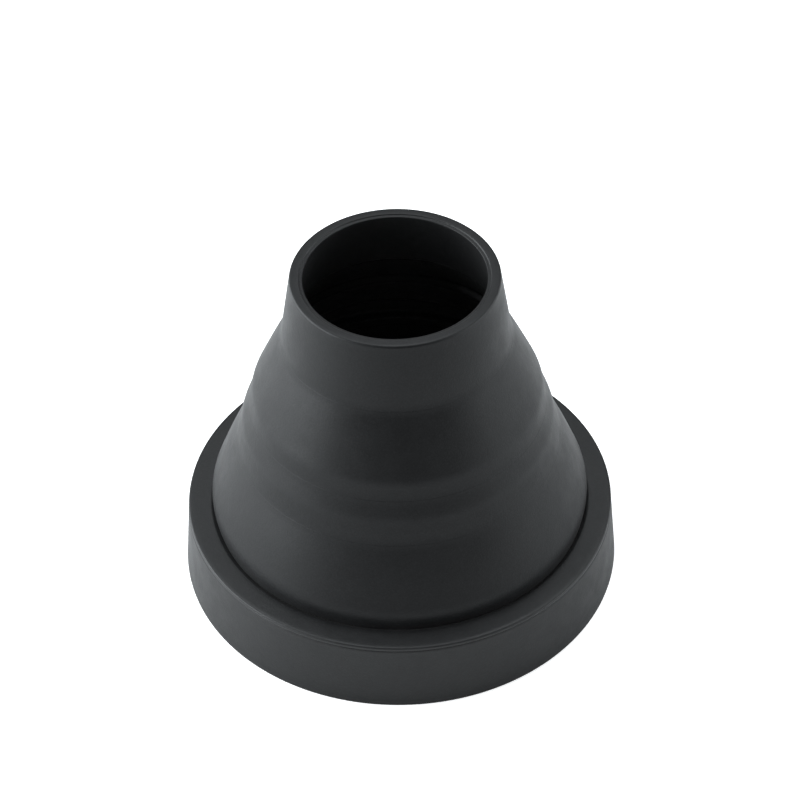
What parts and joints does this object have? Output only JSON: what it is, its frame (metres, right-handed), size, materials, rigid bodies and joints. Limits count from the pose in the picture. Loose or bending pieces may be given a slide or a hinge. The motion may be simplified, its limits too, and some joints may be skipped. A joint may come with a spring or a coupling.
{
  "type": "foldable snoot",
  "caption": "Foldable silicone snoot: a thick collar with a magnetic ring fits a round flash head, and a stepped cone narrows the light to a plain round mouth.",
  "frame": {"origin": "centre of the collar's foot, on the plane that the snoot stands on", "axes": "+Z along the light's path, from the flash head to the mouth; the snoot is round about Z"},
  "size_m": [0.088, 0.088, 0.0731],
  "materials": {
    "silicone": "matte black silicone with a soft sheen at the edges",
    "ring_plastic": "fine-textured black moulded plastic",
    "magnet": "satin nickel plating"
  },
  "bodies": {
    "mount_body": {"collar": "silicone", "skirt": "silicone", "mounting_ring": "ring_plastic", "band_fold": "silicone", "magnet_01": "magnet", "magnet_02": "magnet", "magnet_03": "magnet", "magnet_04": "magnet", "magnet_05": "magnet", "magnet_06": "magnet", "magnet_07": "magnet", "magnet_08": "magnet", "magnet_09": "magnet", "magnet_10": "magnet", "magnet_11": "magnet", "magnet_12": "magnet"},
    "band_body": {"middle_band": "silicone", "bell_fold": "silicone"},
    "bell_body": {"upper_bell": "silicone", "nozzle_fold": "silicone"},
    "nozzle_body": {"nozzle_tube": "silicone"}
  },
  "joints": [
    {"name": "band_slide", "type": "slide", "parent": "mount_body", "child": "band_body", "axis": [0, 0, -1], "range_m": [0, 0.013], "deforming": ["band_fold"]},
    {"name": "bell_slide", "type": "slide", "parent": "band_body", "child": "bell_body", "axis": [0, 0, -1], "range_m": [0, 0.0084], "deforming": ["bell_fold"]},
    {"name": "nozzle_slide", "type": "slide", "parent": "bell_body", "child": "nozzle_body", "axis": [0, 0, -1], "range_m": [0, 0.013], "deforming": ["nozzle_fold"]}
  ]
}
